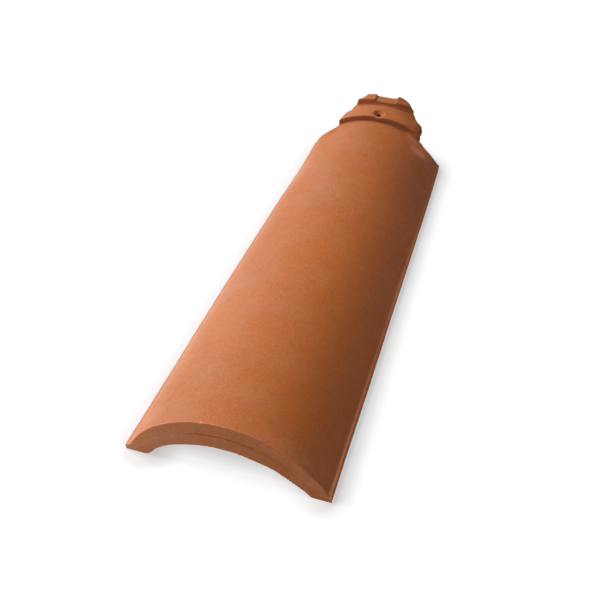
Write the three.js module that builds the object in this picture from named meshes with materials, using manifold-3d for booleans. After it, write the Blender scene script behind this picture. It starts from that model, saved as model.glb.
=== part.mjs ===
// A fired-clay cover tile for a pitched roof: a tapered barrel, open at both ends, whose narrow
// head slips under the wide front end of the next tile up or along the run.
// Millimetres, +Z up. The tile lies on its two long bottom edges, length along Y, head at +Y,
// and the origin is on the floor under the middle of its length. Below, y counts from the front.
import * as THREE from 'three';
import { mergeVertices } from 'three/addons/utils/BufferGeometryUtils.js';
import Module from 'manifold-3d';

// Body: the tapered barrel from the wide front end to the shoulders.
const TOTAL_LENGTH = 450;
const BODY_LENGTH = 411;
const FRONT_WIDTH = 156;
const SHOULDER_WIDTH = 126.6;
const FRONT_HEIGHT = 52;
const SHOULDER_HEIGHT = 39.6;
const CROWN_WALL = 13.5;
const FOOT_WIDTH = 12.5;

// Lip: the small upright edge along each foot, with a ledge on top that narrows to the rear.
const LIP_HEIGHT = 5.2;
const LEDGE_FRONT = 2.8;
const LEDGE_REAR = 1;

// Rib: the thickening under the front end that hooks behind the next tile's collar.
const RIB_CROWN_DROP = 10.9;
const RIB_FOOT_GROWTH = 3;
const RIB_LENGTH = 12;
const RIB_SLOPE = 7;

// Band: the lower part of the front face, with the foot pads, stands a little proud of the rest.
const BAND_STEP = 0.5;
const BAND_DEPTH_AT_CROWN = 13.4;
const BAND_DEPTH_AT_FOOT = 10.5;

// Shoulder dish: the shallow hollow in each shoulder, beside the neck.
const DISH_DEPTH = 1.6;
const DISH_FROM_CENTRE = 44;
const DISH_FROM_END = 8;
const DISH_HALF_WIDTH = 15;
const DISH_HALF_LENGTH = 15;

// Head: the narrow end, with a neck flush with the body, a collar and a notched rim.
const NECK_HALF_WIDTH = 41.6;
const NECK_FILLET = 2.5;
const COLLAR_START = 414.7;
const COLLAR_STEP = 5.5;
const COLLAR_HALF_WIDTH = 41;
const COLLAR_ARC_RADIUS = 80;
const COLLAR_EDGE_RADIUS = 3;
const RIM_START = 440;
const RIM_HALF_WIDTH = 28.4;
const RIM_END_HALF_WIDTH = 18.5;
const RIM_STEP = 5;
const RIM_ARC_RADIUS = 90;
const RIM_EDGE_RADIUS = 2.5;
const HEAD_FALL = 0.04;
const HEAD_UNDERCUT = 5;
const HEAD_WALL = 10;
const RIM_FOOT_WIDTH = 2;
const HEAD_HOLLOW_RISE = 6;
const SHOULDER_WALL = 12;
const NOTCH_WIDTH = 20.8;
const NOTCH_FLOOR = 2.5;

// Nail hole: a round hole in a shallow dished seat on the collar, a little off its centre line.
const NAIL_HOLE_OFFSET = -1.6;
const NAIL_HOLE_FROM_COLLAR = 6.6;
const NAIL_HOLE_DIAMETER = 5;
const SEAT_DIAMETER = 13.6;
const SEAT_FLOOR_DIAMETER = 7.4;
const SEAT_DEPTH = 2.2;

// Mesh fineness: steps along an arch, along a rounded edge, along the rim and around a hole.
const ARCH_STEPS = 48;
const EDGE_STEPS = 5;
const RIM_STEPS = 12;
const HOLE_SIDES = 32;
const DISH_SPACING = 2;
const HEAD_SPACING = 2.5;
const FILLET_SPACING = 0.5;

// How far a joined shape reaches into the next, and a cutting shape past what it cuts.
const JOIN_OVERLAP = 1;
const OVERSHOOT = 4;

const CLAY = new THREE.MeshStandardMaterial({ color: 0xb8683c, roughness: 0.85, metalness: 0 });

const wasm = await Module();
wasm.setup();

const { clamp, lerp, smoothstep } = THREE.MathUtils;

// A closed three.js geometry as a manifold solid.
function solidFrom(geometry) {
  const bare = geometry.clone();
  bare.deleteAttribute('normal');
  bare.deleteAttribute('uv');
  const merged = mergeVertices(bare, 1e-4);
  return new wasm.Manifold(new wasm.Mesh({
    numProp: 3,
    vertProperties: new Float32Array(merged.attributes.position.array),
    triVerts: new Uint32Array(merged.index.array),
  }));
}

// A manifold solid as a three.js geometry.
function geometryFrom(solid) {
  const mesh = solid.getMesh();
  const geometry = new THREE.BufferGeometry();
  geometry.setAttribute('position', new THREE.BufferAttribute(mesh.vertProperties, 3));
  geometry.setIndex(new THREE.BufferAttribute(mesh.triVerts, 1));
  geometry.computeVertexNormals();
  return geometry;
}

// A solid lofted through sections that all have the same number of points.
// Each section is { y, points: [[x, z], ...] }, counter-clockwise seen from the front (-Y).
function loft(sections) {
  const count = sections[0].points.length;
  const positions = [];
  const indices = [];
  for (const section of sections) {
    for (const [x, z] of section.points) positions.push(x, section.y, z);
  }
  for (let s = 0; s < sections.length - 1; s += 1) {
    for (let i = 0; i < count; i += 1) {
      const a = s * count + i;
      const b = s * count + ((i + 1) % count);
      indices.push(a, a + count, b, b, a + count, b + count);
    }
  }
  for (const [s, flip] of [[0, false], [sections.length - 1, true]]) {
    const outline = sections[s].points.map(([x, z]) => new THREE.Vector2(x, z));
    for (const [a, b, c] of THREE.ShapeUtils.triangulateShape(outline, [])) {
      const at = s * count;
      indices.push(...(flip ? [at + a, at + c, at + b] : [at + a, at + b, at + c]));
    }
  }
  const geometry = new THREE.BufferGeometry();
  geometry.setAttribute('position', new THREE.Float32BufferAttribute(positions, 3));
  geometry.setIndex(indices);
  return solidFrom(geometry);
}

// Places from start to end, both included, no further apart than the given spacing.
function stations(start, end, spacing) {
  const steps = Math.ceil((end - start) / spacing);
  return Array.from({ length: steps + 1 }, (_, i) => lerp(start, end, i / steps));
}

// Radius of the circle that rises by `rise` over a chord of two half widths.
const archRadius = (halfWidth, rise) => (halfWidth * halfWidth + rise * rise) / (2 * rise);

// A circular arch from its right springing to its left one, in equal angles.
function archPoints(halfWidth, springZ, crownZ) {
  const radius = archRadius(halfWidth, crownZ - springZ);
  const reach = Math.atan2(halfWidth, radius - (crownZ - springZ));
  return Array.from({ length: ARCH_STEPS + 1 }, (_, i) => {
    const angle = reach * (1 - (2 * i) / ARCH_STEPS);
    return [radius * Math.sin(angle), crownZ - radius + radius * Math.cos(angle)];
  });
}

// Half width and crown height of the body, and the width of the ledge above its lip.
const bodyHalfWidth = (y) => lerp(FRONT_WIDTH, SHOULDER_WIDTH, y / BODY_LENGTH) / 2;
const bodyCrown = (y) => lerp(FRONT_HEIGHT, SHOULDER_HEIGHT, y / BODY_LENGTH);
const ledge = (y) => lerp(LEDGE_FRONT, LEDGE_REAR, y / BODY_LENGTH);

// How far the shoulder dish sinks the body's surface.
function dishDepth(x, y) {
  const across = (Math.abs(x) - DISH_FROM_CENTRE) / DISH_HALF_WIDTH;
  const along = (y - (BODY_LENGTH - DISH_FROM_END)) / DISH_HALF_LENGTH;
  const far = Math.min(Math.hypot(across, along), 1);
  const rim = smoothstep(BODY_LENGTH - y, 0, DISH_FROM_END);
  return (DISH_DEPTH * rim * (1 + Math.cos(Math.PI * far))) / 2;
}

// Outer section of the body: upright lip, ledge, and the arch between the ledges.
function bodySection(y) {
  const half = bodyHalfWidth(y);
  const arch = archPoints(half - ledge(y), LIP_HEIGHT, bodyCrown(y));
  const dished = arch.map(([x, z]) => [x, z - dishDepth(x, y)]);
  return { y, points: [[half, 0], [half, LIP_HEIGHT], ...dished, [-half, LIP_HEIGHT], [-half, 0]] };
}

// Section of the front face's proud band: two foot pads and the arch between them.
function bandSection(y) {
  const half = bodyHalfWidth(0);
  const arch = archPoints(half - BAND_DEPTH_AT_FOOT, LIP_HEIGHT, FRONT_HEIGHT - BAND_DEPTH_AT_CROWN);
  return { y, points: [[half, 0], [half, LIP_HEIGHT], ...arch, [-half, LIP_HEIGHT], [-half, 0]] };
}

// Section of a hollow: an arch, on upright sides where it is taller than half its width. It goes
// on below the floor, so that it parts the feet.
function hollowSection(y, half, crown) {
  const arch = archPoints(half, Math.max(crown - half, 0), crown);
  return { y, points: [[half, -OVERSHOOT], ...arch, [-half, -OVERSHOOT]] };
}

// Inner section of the body, with the rib's growth as a share from 0 to 1.
function cavitySection(y, rib) {
  const half = bodyHalfWidth(y) - FOOT_WIDTH - RIB_FOOT_GROWTH * rib;
  return hollowSection(y, half, bodyCrown(y) - CROWN_WALL - RIB_CROWN_DROP * rib);
}

// Section of the head: a shallow arch with rounded edges, and sides that lean in to the floor.
function headSection(y, halfWidth, crown, radius, edge) {
  const centreZ = crown - radius;
  const edgeX = halfWidth - edge;
  const edgeZ = centreZ + Math.sqrt((radius - edge) ** 2 - edgeX ** 2);
  const turn = Math.atan2(edgeZ - centreZ, edgeX);
  const right = [[halfWidth - HEAD_UNDERCUT, 0]];
  for (let i = 0; i < EDGE_STEPS; i += 1) {
    const angle = (turn * i) / EDGE_STEPS;
    right.push([edgeX + edge * Math.cos(angle), edgeZ + edge * Math.sin(angle)]);
  }
  for (let i = 0; i < ARCH_STEPS / 2; i += 1) {
    const angle = lerp(turn, Math.PI / 2, (2 * i) / ARCH_STEPS);
    right.push([radius * Math.cos(angle), centreZ + radius * Math.sin(angle)]);
  }
  const left = right.map(([x, z]) => [-x, z]).reverse();
  return { y, points: [...right, [0, crown], ...left] };
}

// The barrel from the front end to the shoulders, with the proud band on its face.
function makeBody() {
  const dishStart = BODY_LENGTH - DISH_FROM_END - DISH_HALF_LENGTH;
  const places = [BAND_STEP, BODY_LENGTH / 2, ...stations(dishStart, BODY_LENGTH, DISH_SPACING)];
  const band = loft([bandSection(0), bandSection(BAND_STEP + JOIN_OVERLAP)]);
  return loft(places.map(bodySection)).add(band);
}

// The neck carries the body's surface on to the collar, with a fillet in each inner corner.
function makeNeck() {
  const radius = archRadius(bodyHalfWidth(BODY_LENGTH) - LEDGE_REAR, SHOULDER_HEIGHT - LIP_HEIGHT);
  const halfWidth = (y) => {
    const along = clamp((y - BODY_LENGTH) / NECK_FILLET, 0, 1);
    return NECK_HALF_WIDTH + NECK_FILLET * (1 - Math.sqrt(1 - (1 - along) ** 2));
  };
  const places = stations(BODY_LENGTH, BODY_LENGTH + NECK_FILLET, FILLET_SPACING);
  places.push(COLLAR_START + OVERSHOOT);
  const section = (y, crown) => headSection(y, halfWidth(y), crown, radius, COLLAR_EDGE_RADIUS);
  const root = BODY_LENGTH - SHOULDER_WALL;
  const buried = section(root, bodyCrown(root) - DISH_DEPTH - OVERSHOOT);
  return loft([buried, ...places.map((y) => section(y, bodyCrown(y)))]);
}

// Crown height of the collar, which falls a little towards the rim.
const collarCrown = (y) => bodyCrown(COLLAR_START) + COLLAR_STEP - HEAD_FALL * (y - COLLAR_START);

// The collar, widest at its front face and rounded in plan towards the rim.
function makeCollar() {
  const halfWidth = (y) => {
    const along = (y - COLLAR_START) / (RIM_START - COLLAR_START);
    return lerp(COLLAR_HALF_WIDTH, RIM_HALF_WIDTH, along * along);
  };
  const places = [...stations(COLLAR_START, RIM_START, HEAD_SPACING), RIM_START + JOIN_OVERLAP];
  return loft(places.map(
    (y) => headSection(y, halfWidth(y), collarCrown(y), COLLAR_ARC_RADIUS, COLLAR_EDGE_RADIUS),
  ));
}

// The rim, with rounded corners in plan, and the notch that parts it into two lugs.
function makeRim() {
  const length = TOTAL_LENGTH - RIM_START;
  const crown = collarCrown(RIM_START) + RIM_STEP;
  const halfWidth = (y) => lerp(RIM_END_HALF_WIDTH, RIM_HALF_WIDTH,
    Math.sqrt(1 - ((y - RIM_START) / length) ** 2));
  const places = Array.from({ length: RIM_STEPS + 1 }, (_, i) => {
    const turn = (Math.PI / 2) * (i / RIM_STEPS);
    return RIM_START + length * Math.sin(turn);
  });
  const rim = loft(places.map(
    (y) => headSection(y, halfWidth(y), crown, RIM_ARC_RADIUS, RIM_EDGE_RADIUS),
  ));
  const notch = new THREE.BoxGeometry(NOTCH_WIDTH, 2 * length, 2 * RIM_STEP);
  notch.translate(0, TOTAL_LENGTH, collarCrown(RIM_START) + NOTCH_FLOOR + RIM_STEP);
  return rim.subtract(solidFrom(notch));
}

// The hollow from end to end: narrow past the rib, wide under the barrel, narrow under the head.
function makeHollow() {
  const barrelEnd = BODY_LENGTH - 2 * SHOULDER_WALL;
  const neckStart = BODY_LENGTH - SHOULDER_WALL;
  const neckCrown = bodyCrown(neckStart) - CROWN_WALL;
  const neckHalf = NECK_HALF_WIDTH - HEAD_UNDERCUT - HEAD_WALL;
  const rimHalf = RIM_END_HALF_WIDTH - HEAD_UNDERCUT - RIM_FOOT_WIDTH;
  return loft([
    cavitySection(-OVERSHOOT, 1),
    cavitySection(RIB_LENGTH, 1),
    cavitySection(RIB_LENGTH + RIB_SLOPE, 0),
    cavitySection(barrelEnd, 0),
    hollowSection(neckStart, neckHalf, neckCrown),
    hollowSection(COLLAR_START, neckHalf, neckCrown),
    hollowSection(RIM_START, rimHalf, neckCrown + HEAD_HOLLOW_RISE),
    hollowSection(TOTAL_LENGTH + OVERSHOOT, rimHalf, neckCrown + HEAD_HOLLOW_RISE),
  ]);
}

// The nail hole and its dished seat, upright through the collar.
function makeNailHole() {
  const crown = collarCrown(COLLAR_START + NAIL_HOLE_FROM_COLLAR);
  const hole = NAIL_HOLE_DIAMETER / 2;
  const flare = (SEAT_DIAMETER - SEAT_FLOOR_DIAMETER) / 2 / SEAT_DEPTH;
  const profile = [
    new THREE.Vector2(0, 0),
    new THREE.Vector2(hole, 0),
    new THREE.Vector2(hole, crown - SEAT_DEPTH),
    new THREE.Vector2(SEAT_FLOOR_DIAMETER / 2, crown - SEAT_DEPTH),
    new THREE.Vector2(SEAT_DIAMETER / 2 + flare * OVERSHOOT, crown + OVERSHOOT),
    new THREE.Vector2(0, crown + OVERSHOOT),
  ];
  const lathe = new THREE.LatheGeometry(profile, HOLE_SIDES);
  lathe.rotateX(Math.PI / 2);
  lathe.translate(NAIL_HOLE_OFFSET, COLLAR_START + NAIL_HOLE_FROM_COLLAR, 0);
  return solidFrom(lathe);
}

const tileSolid = makeBody()
  .add(makeNeck())
  .add(makeCollar())
  .add(makeRim())
  .subtract(makeHollow())
  .subtract(makeNailHole());

const tile = new THREE.Mesh(geometryFrom(tileSolid), CLAY);
tile.name = 'cover_tile';
tile.position.set(0, -TOTAL_LENGTH / 2, 0);

const group = new THREE.Group();
group.add(tile);

export default group;
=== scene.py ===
"""The looks of the clay cover tile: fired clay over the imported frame, in soft studio light."""
import functools
import math
import types

import bpy
import numpy as np
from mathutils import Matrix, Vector


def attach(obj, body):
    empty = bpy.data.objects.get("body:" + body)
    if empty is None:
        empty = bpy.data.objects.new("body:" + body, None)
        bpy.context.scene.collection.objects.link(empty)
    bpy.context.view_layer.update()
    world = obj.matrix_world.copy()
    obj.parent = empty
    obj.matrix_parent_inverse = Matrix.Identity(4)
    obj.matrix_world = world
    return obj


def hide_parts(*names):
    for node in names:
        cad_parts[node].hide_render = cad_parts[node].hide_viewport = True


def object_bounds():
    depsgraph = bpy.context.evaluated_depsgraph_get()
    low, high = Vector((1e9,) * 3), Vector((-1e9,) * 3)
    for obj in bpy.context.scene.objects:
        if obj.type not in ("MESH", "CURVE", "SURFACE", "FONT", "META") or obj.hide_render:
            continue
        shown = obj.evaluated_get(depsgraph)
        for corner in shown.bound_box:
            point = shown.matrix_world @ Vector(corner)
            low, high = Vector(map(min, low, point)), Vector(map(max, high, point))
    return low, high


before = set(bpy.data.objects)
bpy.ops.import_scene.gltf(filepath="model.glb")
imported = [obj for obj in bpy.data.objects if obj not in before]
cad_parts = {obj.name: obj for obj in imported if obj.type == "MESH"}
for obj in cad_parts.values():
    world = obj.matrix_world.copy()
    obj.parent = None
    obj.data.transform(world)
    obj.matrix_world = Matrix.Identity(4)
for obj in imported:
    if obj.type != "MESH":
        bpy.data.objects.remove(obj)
cad_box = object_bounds()

MM = 0.001

# The middle of the front end, on the floor. The tables below count millimetres from there.
FRONT_END = np.array([0, cad_box[0][1], 0])

# Camera: angles to the right of the tile's front and up, the distance, and the point it looks at.
CAMERA_AZIMUTH = math.radians(18.07)
CAMERA_ELEVATION = math.radians(42.92)
CAMERA_DISTANCE = 0.8383
CAMERA_TARGET = Vector((-0.0069, -0.0356, 0.0))
CAMERA_LENS = 59.64
SENSOR_WIDTH = 36.0

# Light: one large soft lamp on the left, a little behind the tile, and an even sky.
KEY_ELEVATION = math.radians(42)
KEY_BEHIND = math.radians(16)
KEY_ENERGY = 2.85
KEY_ANGLE = math.radians(44)
SKY_STRENGTH = 0.21

# Floor: its half width, its gap below the tile, and its colour for the light that it passes on.
FLOOR_HALF = 3.0
FLOOR_GAP = 0.2 * MM
FLOOR_COLOUR = 0.5

# The white that the floor adds for the camera: in the open, close to the tile, deep in the hollow
# and under the front end, where less of it is a painted shadow. Close means that the tile hides
# this much of the sky within the reach.
FLOOR_WHITE_OPEN = 0.70
FLOOR_WHITE_CLOSE = 0.49
FLOOR_WHITE_HOLLOW = 0.60
FLOOR_WHITE_FRONT = 0.84
FLOOR_CLOSE_REACH = 20 * MM
FLOOR_CLOSE_SKY = 0.87

# Clay skin: the voxel and the rounds of smoothing that soften the edges, the triangles kept, and
# the rounds after which what still stands proud counts as relief.
SKIN_VOXEL = 0.6 * MM
SKIN_SMOOTHING = 3
SKIN_TRIANGLES = 190000
RELIEF_SMOOTHING = 8
SMOOTHING_FACTOR = 0.5

# Waves that drying and firing left in the surface: (size, height) in metres.
WAVES = ((60 * MM, 0.5 * MM), (14 * MM, 0.12 * MM))

# Places where handling left the shape uneven, as a sculptor's soft grabs:
# (what, centre, reach, move).
GRABS = (
    ("right foot spreads to the rear", (66, 345, 2), (14, 200, 12), (1.4, 0, 0)),
    ("left foot is pinched at the rear", (-64.5, 368, 3), (12, 75, 12), (1.1, 0, 0)),
    ("left shoulder is full", (-55, 410, 14), (14, 40, 16), (-0.7, 0, 0.5)),
    ("collar leans right, left end", (-39, 420, 34), (9, 18, 12), (1.0, 0, 0)),
    ("collar leans right, right end", (40, 424, 33), (9, 12, 10), (2.1, 0, 1.8)),
    ("collar's right end is full", (42, 417, 30), (7, 7, 8), (1.2, 0, 0)),
    ("neck's right fillet is deep", (41, 414.5, 27), (5.5, 5, 5.5), (-1.8, 0, 0)),
    ("left shoulder is full beside the neck", (-46, 411, 27), (9, 8, 8), (0, 0, 0.9)),
    ("left side bellies", (-70, 170, 3), (14, 160, 14), (-0.6, 0, 0)),
    ("right side bellies", (72, 160, 3), (14, 150, 14), (0.7, 0, 0)),
    ("collar's right corner is cut back", (44, 413, 30), (9, 8, 12), (-0.4, 4, 0)),
    ("right lug's inner corner is high", (12, 449, 47), (7, 6, 5), (0, 0, 1.2)),
    ("right lug's back corner leans in", (24, 448.5, 46), (9, 7, 7), (-2.4, 0, 0.3)),
    ("right lug's flank leans in", (26.5, 445, 42), (6, 6, 4), (-1.3, 0, 0)),
    ("left lug's back corner is rubbed", (-25.5, 447, 45), (7, 7, 6), (0.9, 0, -1.4)),
    ("right lug's front corner is rubbed", (29, 440, 40), (6, 6, 7), (-1.1, 0, 0)),
    ("right lug is tall", (24, 441, 41), (12, 8, 8), (0, 0.8, 1.0)),
    ("right lug leans in", (27.5, 441.5, 46.5), (9, 9, 6), (-2.4, 0, -0.3)),
    ("rim's right foot is wide", (28, 441, 38.5), (7, 9, 4.5), (1.7, 0, 0)),
    ("rim's left foot is wide", (-27, 437.5, 38.5), (6, 6, 5), (-2.5, 0, -1.4)),
    ("left flank is hollow beside the rim", (-33.5, 432.5, 36.5), (5, 6, 6), (1.2, 0, -0.4)),
    ("rim's foot is deep", (0, 438, 42), (34, 4.5, 5), (0, 0, -1.5)),
    ("rim's foot is deep on the left", (-24, 438, 40), (8, 4.5, 5), (0, 0, -1.1)),
    ("collar's edge bulges under the nail hole", (0.5, 415.5, 43.5), (8, 4, 4), (0, -0.9, -0.4)),
    ("collar's edge is low on the right", (32, 416, 37.5), (7, 5, 5), (0, -0.5, -0.7)),
    ("right shoulder is full", (52, 386, 24), (18, 22, 16), (0.3, 0, 0.7)),
    ("right shoulder's dish is deep", (44, 406, 28), (16, 12, 14), (0, 0, -0.4)),
    ("left foot's toe is full", (-58, 0, 3), (7, 8, 7), (0, 0, -2)),
    ("arch is high beside the toe", (-44, 2, 15), (16, 14, 12), (0, 0, 0.6)),
    ("arch is low right of the crown", (22, 2, 24), (20, 14, 12), (0, 0, -0.8)),
    ("arch is low on the right", (46, 2, 12), (20, 14, 12), (0, 0, -1.0)),
    ("front edge is worn on the right", (62, 0, 24), (20, 5, 14), (-0.4, 0, -0.9)),
    ("chip on the front crest", (-17.6, 0.5, 51.3), (2.4, 2.2, 2.2), (0, 0.6, -1.1)),
    ("burr beside the nail seat", (5.7, 422.5, 44.3), (2.0, 1.6, 3.0), (0, 0, 0.9)),
    ("burr at the right shoulder", (45, 411, 25.5), (3, 3, 3), (0.6, 0, 1.2)),
)

# Groove on the front face, just outside the proud band's upper edge, which is an arc round a centre
# below the floor. The groove deepens from its left end, and is kept off the two foot pads.
BAND_RADIUS = 79.4
BAND_CENTRE = -40.8
GROOVE_OUTSIDE = 0.4
GROOVE_DEPTH = 0.95
GROOVE_HALF_WIDTH = 0.9
GROOVE_START = -46
GROOVE_RUN = 24
FACE_DEPTH = 1.5
PAD_HEIGHT = 5

# Clay colours, linear. The tile's left side, which faces the lamp, is painted paler and pinker than
# its right, as a painted sheen.
CLAY_ORANGE = (0.590, 0.162, 0.036, 1)
CLAY_PINK = (0.590, 0.266, 0.151, 1)

# How much each side draws in along the tile, for lines that run beside it.
RIGHT_TAPER = 0.0358
LEFT_TAPER = -0.033

# Places where the clay's shade differs, in full within this part of the radius:
# (what, centre, radius, shade). Paler spots and painted shade spots multiply the colour, pink ones
# add to the tint.
SPOT_CORE = 0.3
PALE_AND_PAINTED_LIGHT_SPOTS = (
    # Paler clay at the chip, and a paler barrel along the front crest right of the crown.
    ("chip on the front crest", (-17.6, 0.5, 51.3), 4, 1.3),
    ("paler barrel along the front crest", (30, 6, 45), 12, 1.07),
    ("paler barrel along the front crest", (42, 4, 40), 12, 1.12),
    ("paler barrel along the front crest", (56, 2, 30), 11, 1.12),
    # Painted highlight on the barrel by the left foot's front, which faces the lamp.
    ("barrel beside the left foot's front", (-64, 14, 22), 22, 1.1),
    # Painted light on the collar's left end, which lifts the painted shade towards the rear.
    ("collar's left end", (-30, 428, 38), 16, 1.08),
    # Painted light on the right shoulder, where its surface turns up towards the light.
    ("right shoulder", (41, 411, 20), 24, 1.50),
    # Painted highlights along the left flank and at the left foot's rear, which face the lamp.
    ("left flank", (-66, 115, 18), 80, 1.06),
    ("left foot's rear", (-64, 345, 6), 34, 1.06),
    # Painted highlight lines along the right shoulder's edge by the neck.
    ("highlight line at the right shoulder", (30.3, 413, 31), 5, 1.42),
    ("highlight line at the right shoulder", (33, 408, 30), 4, 1.12),
    # Painted highlight on the lit side of the burr beside the nail seat.
    ("burr beside the nail seat", (5.7, 422.9, 44.3), 2, 1.25),
)
PAINTED_SHADE_SPOTS = (
    # All painted shade: on the head's right, the collar's right end and the neck, away from the
    # lamp; towards the right flank's rear; on the rim's top; in the nail hole, its mouth and its
    # seat; in the left foot's inner corner; and on the burr's shaded side.
    ("right of the head", (30, 444, 36), 32, 0.8),
    ("right side of the neck", (42, 412, 24), 6, 0.7),
    ("right end of the collar", (43, 418, 28), 10, 0.7),
    ("right end of the collar", (42, 425, 33), 13, 0.75),
    ("right end of the collar", (39, 422.5, 37), 9, 0.66),
    ("collar's edge on the right", (36.5, 416.8, 36.5), 4, 0.68),
    ("right flank's rear", (66, 370, 8), 90, 0.86),
    ("rim's top", (5, 447, 48), 26, 0.95),
    ("nail hole", (-1.6, 421.3, 38), 6, 0.8),
    ("nail hole's mouth", (-1.6, 421.3, 41.5), 4, 0.95),
    ("seat", (-4.5, 423.5, 43.5), 5, 0.65),
    ("left foot's inner corner", (-54, 1, 3), 5, 0.75),
    ("beside the burr", (5.7, 425.5, 44), 1.8, 0.8),
)
PINK_SPOTS = (
    # Pink tints with the painted light on the right shoulder and the painted highlight at the left
    # foot's rear; and a pinker rim.
    ("right shoulder", (43, 405, 27), 20, 0.35),
    ("left foot's rear", (-64, 345, 6), 34, 0.35),
    ("rim", (0, 446, 46), 30, 0.15),
)

# Clay surface: the height of its sand, its pits and the mould's lines, and how matt it is.
SAND_HEIGHT = 0.05 * MM
PIT_DEPTH = 0.1 * MM
LINE_HEIGHT = 0.04 * MM
LINE_SQUEEZE = 0.03
ROUGHNESS_LEAST = 0.55
ROUGHNESS_MOST = 0.7
SPECULAR_LEVEL = 0.08
SHEEN_WEIGHT = 0.17
SHEEN_ROUGHNESS = 0.4


def live_socket(sockets, name):
    """The socket of that name that the node's settings leave in use."""
    return next(socket for socket in sockets if socket.name == name and socket.enabled)


class Shader:
    """A shader tree to add nodes to, whose inputs are given as values or as sockets to link."""

    def __init__(self, tree):
        self.tree = tree

    def node(self, kind, inputs=None, **settings):
        made = self.tree.nodes.new("ShaderNode" + kind)
        for name, value in settings.items():
            setattr(made, name, value)
        for name, value in (inputs or {}).items():
            wanted = made.inputs[name] if isinstance(name, int) else live_socket(made.inputs, name)
            if isinstance(value, bpy.types.NodeSocket):
                self.tree.links.new(value, wanted)
            else:
                wanted.default_value = value
        return made

    def result(self, output, kind, inputs=None, **settings):
        """The named output of a new node."""
        return live_socket(self.node(kind, inputs, **settings).outputs, output)

    def axes(self, vector):
        return self.node("SeparateXYZ", {"Vector": vector}).outputs[:3]

    def maths(self, operation, first, second):
        return self.result("Value", "Math", {0: first, 1: second}, operation=operation)

    def product(self, *values):
        return functools.reduce(functools.partial(self.maths, "MULTIPLY"), values)

    def total(self, *values):
        return functools.reduce(functools.partial(self.maths, "ADD"), values)

    def ramp(self, value, low, high, start, end, curve="LINEAR"):
        """What runs from start to end while the value runs from low to high, and not beyond."""
        return self.result("Result", "MapRange", {
            "Value": value, "From Min": low, "From Max": high, "To Min": start, "To Max": end,
        }, interpolation_type=curve)

    def over(self, distance, low, high, start, end, curve="LINEAR"):
        """A ramp over a distance, with its limits in millimetres."""
        return self.ramp(distance, low * MM, high * MM, start, end, curve)

    def mix(self, factor, first, second, kind="FLOAT"):
        return self.result("Result", "Mix", {
            "Factor": factor, "A": first, "B": second,
        }, data_type=kind)

    def noise(self, place, size, detail=2.0, roughness=0.5):
        return self.result("Fac", "TexNoise", {
            "Vector": place, "Scale": 1 / (size * MM), "Detail": detail, "Roughness": roughness,
        })

    def seen_straight(self):
        """One for a ray from the camera, also by way of a gloss or through glass, and else zero."""
        path = self.node("LightPath").outputs
        gloss = self.maths("MAXIMUM", path["Is Camera Ray"], path["Is Glossy Ray"])
        return self.maths("MAXIMUM", gloss, path["Is Transmission Ray"])


def add_object(name, data):
    made = bpy.data.objects.new(name, data)
    bpy.context.scene.collection.objects.link(made)
    return made


def make_camera():
    data = bpy.data.cameras.new("camera")
    data.lens = CAMERA_LENS
    data.sensor_width = SENSOR_WIDTH
    camera = add_object("camera", data)
    back = Vector((
        math.sin(CAMERA_AZIMUTH) * math.cos(CAMERA_ELEVATION),
        -math.cos(CAMERA_AZIMUTH) * math.cos(CAMERA_ELEVATION),
        math.sin(CAMERA_ELEVATION),
    ))
    camera.location = CAMERA_TARGET + back * CAMERA_DISTANCE
    camera.rotation_euler = back.to_track_quat("Z", "Y").to_euler()
    bpy.context.scene.camera = camera


def make_sky():
    """An even sky, which is plain white to the camera."""
    world = bpy.data.worlds.new("studio")
    bpy.context.scene.world = world
    world.use_nodes = True
    shader = Shader(world.node_tree)
    background = world.node_tree.nodes["Background"]
    background.inputs["Color"].default_value = (1, 1, 1, 1)
    strength = shader.mix(shader.seen_straight(), SKY_STRENGTH, 1.0)
    world.node_tree.links.new(strength, background.inputs["Strength"])


def make_key():
    data = bpy.data.lights.new("key", "SUN")
    data.energy = KEY_ENERGY
    data.angle = KEY_ANGLE
    towards = Vector((
        -math.cos(KEY_ELEVATION) * math.cos(KEY_BEHIND),
        math.cos(KEY_ELEVATION) * math.sin(KEY_BEHIND),
        math.sin(KEY_ELEVATION),
    ))
    add_object("key", data).rotation_euler = towards.to_track_quat("Z", "Y").to_euler()


def floor_white(shader):
    """The white that the floor adds for the camera, by how near the tile and how deep under it,
    less there as a painted shadow.
    """
    sky = shader.result("AO", "AmbientOcclusion", {"Distance": FLOOR_CLOSE_REACH})
    beside = shader.ramp(sky, FLOOR_CLOSE_SKY, 1.0, FLOOR_WHITE_CLOSE, FLOOR_WHITE_OPEN)
    across, along, _ = shader.axes(shader.result("Object", "TexCoord"))
    under = shader.over(along, -219, -208, FLOOR_WHITE_FRONT, FLOOR_WHITE_HOLLOW)

    # Between the two feet, with the right limit slanting in towards the rear.
    slanted = shader.total(across, shader.over(along, -227, -127, 0.0, 150 * MM))
    between = shader.product(
        shader.over(across, -60, -30, 0.0, 1.0, "SMOOTHSTEP"),
        shader.over(slanted, 92, 38, 0.0, 1.0, "SMOOTHSTEP"),
    )
    return shader.mix(between, beside, under)


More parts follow.
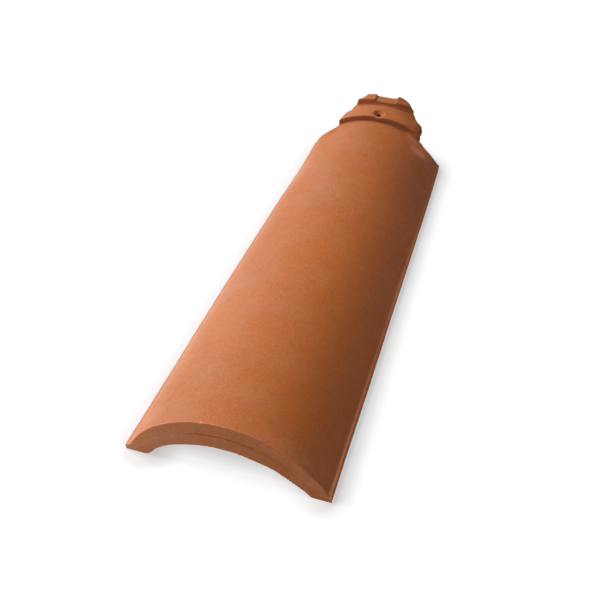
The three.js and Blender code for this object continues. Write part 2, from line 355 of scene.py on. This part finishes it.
def make_floor():
    """A white floor, which adds its own white for the camera alone, so that only shadows show."""
    mesh = bpy.data.meshes.new("floor")
    corners = [(FLOOR_HALF * x, FLOOR_HALF * y, 0) for x, y in ((-1, -1), (1, -1), (1, 1), (-1, 1))]
    mesh.from_pydata(corners, [], [(0, 1, 2, 3)])
    floor = add_object("floor", mesh)
    floor.location.z = -FLOOR_GAP
    material = bpy.data.materials.new("floor")
    material.use_nodes = True
    material.node_tree.nodes.clear()
    shader = Shader(material.node_tree)
    glow = shader.result("Emission", "Emission", {
        "Color": floor_white(shader), "Strength": shader.seen_straight(),
    })
    diffuse = shader.result("BSDF", "BsdfDiffuse", {"Color": (FLOOR_COLOUR,) * 3 + (1,)})
    both = shader.result("Shader", "AddShader", {0: diffuse, 1: glow})
    shader.node("OutputMaterial", {"Surface": both})
    mesh.materials.append(material)


def add_smoothing(piece, name, rounds):
    smooth = piece.modifiers.new(name, "SMOOTH")
    smooth.factor = SMOOTHING_FACTOR
    smooth.iterations = rounds


def apply_modifiers(piece):
    """Replace a piece's mesh by what its modifiers make of it."""
    depsgraph = bpy.context.evaluated_depsgraph_get()
    made = bpy.data.meshes.new_from_object(piece.evaluated_get(depsgraph))
    piece.modifiers.clear()
    piece.data = made
    return made


def read_points(mesh):
    points = np.empty(len(mesh.vertices) * 3)
    mesh.vertices.foreach_get("co", points)
    return points.reshape(-1, 3)


def write_points(mesh, points):
    mesh.vertices.foreach_set("co", points.ravel())
    mesh.update()


def scored(points):
    """The points after a fine groove is drawn on the front face, along its proud band's top."""
    x, y, z = (points - FRONT_END).T / MM
    beside = (np.hypot(x, z - BAND_CENTRE) - BAND_RADIUS - GROOVE_OUTSIDE) / GROOVE_HALF_WIDTH
    depth = GROOVE_DEPTH * np.exp(-(beside**2)) * np.clip((x - GROOVE_START) / GROOVE_RUN, 0, 1)
    points[:, 1] += np.where((y < FACE_DEPTH) & (z > PAD_HEIGHT), depth, 0) * MM
    return points


def grabbed(points):
    """The points after every soft grab in GRABS."""
    for _, centre, reach, move in GRABS:
        away = (points - FRONT_END - np.array(centre) * MM) / (np.array(reach) * MM)
        weight = np.clip(1 - (away**2).sum(axis=1), 0, None) ** 2
        points = points + weight[:, None] * np.array(move) * MM
    return points


def mark_relief(piece):
    """Note how many millimetres each point stands proud of the skin round it, for the paler wear on
    edges and the painted shade in hollows.
    """
    mesh = piece.data
    add_smoothing(piece, "relax", RELIEF_SMOOTHING)
    relaxed = piece.evaluated_get(bpy.context.evaluated_depsgraph_get()).to_mesh()
    lift = read_points(mesh) - read_points(relaxed)
    piece.modifiers.clear()
    normals = np.empty(len(mesh.vertices) * 3)
    mesh.vertex_normals.foreach_get("vector", normals)
    relief = (lift * normals.reshape(-1, 3)).sum(axis=1) / MM
    mesh.attributes.new("relief", "FLOAT", "POINT").data.foreach_set("value", relief)


def fired_tile():
    """The tile's skin: the CAD solid with soft fired edges and a slightly uneven surface."""
    piece = add_object("fired_tile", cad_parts["cover_tile"].data.copy())
    remesh = piece.modifiers.new("voxels", "REMESH")
    remesh.mode = "VOXEL"
    remesh.voxel_size = SKIN_VOXEL
    add_smoothing(piece, "soft_edges", SKIN_SMOOTHING)
    mesh = apply_modifiers(piece)
    write_points(mesh, grabbed(scored(read_points(mesh))))

    for size, height in WAVES:
        texture = bpy.data.textures.new("waves", "CLOUDS")
        texture.noise_scale = size
        waves = piece.modifiers.new("waves", "DISPLACE")
        waves.texture = texture
        waves.texture_coords = "LOCAL"
        waves.strength = height
        waves.mid_level = 0.5

    # The voxel mesh is all quads, of two triangles each.
    thin = piece.modifiers.new("thin", "DECIMATE")
    thin.ratio = SKIN_TRIANGLES / 2 / len(mesh.polygons)
    mesh = apply_modifiers(piece)
    write_points(mesh, np.clip(read_points(mesh), *cad_box))
    mesh.polygons.foreach_set("use_smooth", np.ones(len(mesh.polygons), dtype=bool))
    mark_relief(piece)
    return piece


def clay_places(shader):
    """The tile's directions, and masks from zero to one for its parts, by name."""
    product, ramp, over = shader.product, shader.ramp, shader.over
    coordinates = shader.node("TexCoord").outputs
    across, along, height = shader.axes(coordinates["Object"])
    right, back, up = shader.axes(coordinates["Normal"])

    # The right foot's upright edge, which takes painted shade, and the ledge on top of each foot's
    # edge, which takes a painted highlight, most at the front right.
    outward = shader.total(across, product(along, RIGHT_TAPER))
    side = shader.maths(
        "MAXIMUM",
        product(ramp(right, 0.3, 0.8, 0, 1), over(height, 5.0, 6.5, 1, 0)),
        product(
            over(outward, 68.5, 69.3, 0, 1),
            over(height, 5.5, 7.0, 1, 0),
            over(along, -60, 20, 1, 0),
        ),
    )
    lip = product(
        ramp(side, 0, 1, 1, 0),
        ramp(up, 0.2, 0.8, 0, 1),
        over(height, 3.0, 4.2, 0, 1),
        over(height, 5.8, 7.0, 1, 0),
        over(along, -224, -222.5, 0, 1),
        over(along, -190, 120, 1, 0.2),
        over(across, -60, 60, 0.1, 0.72),
    )

    # The front face and its right pad, for painted light, and the steps up to the collar and the
    # rim, for painted shade and light.
    front = over(along, -223.6, -224.2, 0, 1)
    pad = product(front, over(across, 38, 54, 0, 1), over(height, 26, 14, 0, 1))
    steps = product(ramp(back, -0.4, -0.8, 0, 1), over(along, 180, 188, 0, 1))
    return types.SimpleNamespace(
        place=coordinates["Object"], across=across, along=along, side=side, lip=lip,
        front=front, pad=pad, steps=steps,
        left=shader.total(across, product(along, LEFT_TAPER)),
    )


def mottled(shader, place, size, spread, detail=2.0, roughness=0.5, middle=1.0, ends=(0.3, 0.7)):
    """Noise of that size in millimetres, spread about its middle."""
    return shader.ramp(
        shader.noise(place, size, detail, roughness), *ends, middle - spread, middle + spread
    )


def spot_shades(shader, place, spots, elsewhere=1.0):
    """For each spot, its shade within and another elsewhere."""
    made = []
    for _, centre, radius, shade in spots:
        middle = FRONT_END + np.array(centre) * MM
        away = shader.result("Value", "VectorMath", {0: place, 1: middle}, operation="DISTANCE")
        made.append(shader.over(away, radius, SPOT_CORE * radius, elsewhere, shade, "SMOOTHSTEP"))
    return made


def clay_shades(shader, at):
    """How much paler the clay is from wear and painted light, and how much painted shade darkens
    it, each as a factor of its colour.
    """
    product, total, ramp, over = shader.product, shader.total, shader.ramp, shader.over
    relief = shader.result("Fac", "Attribute", attribute_name="relief")
    edge = total(relief, mottled(shader, at.place, 5, 0.12, 4.0, 0.65, middle=0))

    # Paler: rubbed edges from wear; and painted light: a painted highlight on the ledges, painted
    # light on the front face and its pad, and a painted sheen along the left side, which faces the
    # lamp.
    face = total(product(at.front, over(at.across, -72, 20, 0.64, 0.36)), product(at.pad, 0.3))
    wear_and_painted_light = product(
        ramp(edge, 0.12, 0.4, 1.0, 1.13),
        total(at.lip, 1.0),
        total(face, 1.0),
        over(at.left, -48, -68, 1.0, 1.15),
        *spot_shades(shader, at.place, PALE_AND_PAINTED_LIGHT_SPOTS),
    )

    # Painted shade: in hollows and corners, on the steps of collar and rim (painted light instead
    # towards their right ends), on the right foot's upright edge, towards the rear and on the right
    # flank, away from the lamp.
    painted_step_shade_and_light = total(
        product(at.steps, over(at.along, 195, 212, -0.15, 0.1)),
        product(at.steps, over(at.across, -10, 30, 0.02, 0.22)),
        1.0,
    )
    # Painted shade towards the rear, stronger on the right.
    rear = product(over(at.along, -20, 205, 0, 1), over(at.across, -50, 0, 0.2, 1))
    painted_shade = product(
        ramp(edge, -0.12, -0.5, 1.0, 0.72),
        painted_step_shade_and_light,
        ramp(at.side, 0, 1, 1.0, 0.9),
        ramp(rear, 0, 1, 1.0, 0.88),
        over(at.across, 15, 60, 1.0, 0.92),
        *spot_shades(shader, at.place, PAINTED_SHADE_SPOTS),
    )
    return wear_and_painted_light, painted_shade


def clay_tint(shader, at, wear_and_painted_light):
    """How pink the clay is: nought is orange, and from one on it is all pink."""
    product, over = shader.product, shader.over
    return shader.total(
        # A painted sheen: pinker to the left, which faces the lamp, and less so at the rear.
        over(at.across, 32, -28, -0.08, 0.47),
        over(at.along, 60, 150, 0, -0.07),

        # Pinker at the front, from the crown to the right; and a painted sheen on the left flank,
        # which faces the lamp, where it fades to the rear and grows towards the foot.
        product(over(at.along, -222, -140, 0.15, 0), over(at.across, -30, 0, 0, 1)),
        product(over(at.along, -150, 75, 0.12, -0.1), over(at.across, -35, -55, 0, 1)),
        over(at.left, -59, -69, 0, 0.45),

        # Soft patches, fine specks, and wherever the clay is paler from wear or painted light.
        mottled(shader, at.place, 40, 0.17, 3.0, 0.55, middle=0),
        mottled(shader, at.place, 2, 0.12, middle=0),
        shader.ramp(wear_and_painted_light, 1.0, 1.4, 0, 0.19),

        # Parts: tints with the painted light on the front face and the pad, the painted shade and
        # light on the steps of collar and rim, the painted highlight on the ledges and the painted
        # shade on the edge.
        product(at.front, over(at.across, -10, -40, -0.06, -0.22)),
        product(at.steps, over(at.across, -30, 30, 0.12, 0.6), over(at.along, 195, 212, 0.8, 1.2)),
        product(at.pad, 0.22),
        product(at.lip, over(at.across, -60, 60, 0.5, 0.6)),
        product(at.side, 0.45),
        *spot_shades(shader, at.place, PINK_SPOTS, 0.0),
    )


def clay_colour(shader, at):
    wear_and_painted_light, painted_shade = clay_shades(shader, at)
    grain = shader.product(
        mottled(shader, at.place, 1.3, 0.15, 3.0, 0.7, ends=(0.25, 0.75)),
        mottled(shader, at.place, 3, 0.03),
        mottled(shader, at.place, 7, 0.04, 5.0),
    )
    tint = shader.mix(clay_tint(shader, at, wear_and_painted_light), CLAY_ORANGE, CLAY_PINK, "RGBA")
    # The grain times the wear and painted light, and the painted shade.
    shade = shader.product(wear_and_painted_light, painted_shade, grain)
    return shader.result("Vector", "VectorMath", {0: tint, "Scale": shade}, operation="SCALE")


def clay_bump(shader, place):
    """Sand, small pits, and faint lines drawn along the tile by the mould."""
    stretched = shader.result("Vector", "Mapping", {"Vector": place, "Scale": (1, LINE_SQUEEZE, 1)})
    sand = shader.ramp(shader.noise(place, 1.1, 4.0, 0.65), 0.2, 0.8, 0, SAND_HEIGHT)
    pits = shader.ramp(shader.noise(place, 2.6, 1.0), 0.30, 0.36, -PIT_DEPTH, 0)
    lines = shader.ramp(shader.noise(stretched, 3), 0.2, 0.8, 0, LINE_HEIGHT)
    return shader.result("Normal", "Bump", {
        "Height": shader.total(sand, pits, lines), "Strength": 1.0, "Distance": 1.0,
    })


def clay_material():
    """Matt fired clay: mottled tints, fine grain and paler rubbed edges, with painted shade in
    corners and hollows, and painted light and highlights on the lit side, the ledges and the front
    face.
    """
    material = bpy.data.materials.new("fired_clay")
    material.use_nodes = True
    tree = material.node_tree
    shader = Shader(tree)
    at = clay_places(shader)
    patches = shader.noise(at.place, 9, 3.0)
    roughness = shader.ramp(patches, 0.3, 0.7, ROUGHNESS_LEAST, ROUGHNESS_MOST)
    inputs = tree.nodes["Principled BSDF"].inputs
    tree.links.new(clay_colour(shader, at), inputs["Base Color"])
    tree.links.new(roughness, inputs["Roughness"])
    tree.links.new(clay_bump(shader, at.place), inputs["Normal"])
    inputs["Specular IOR Level"].default_value = SPECULAR_LEVEL
    inputs["Sheen Weight"].default_value = SHEEN_WEIGHT
    inputs["Sheen Roughness"].default_value = SHEEN_ROUGHNESS
    return material


make_camera()
make_sky()
make_key()
make_floor()
tile = fired_tile()
tile.data.materials.clear()
tile.data.materials.append(clay_material())
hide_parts("cover_tile")
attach(tile, "root")
bpy.context.scene.view_settings.view_transform = "Standard"
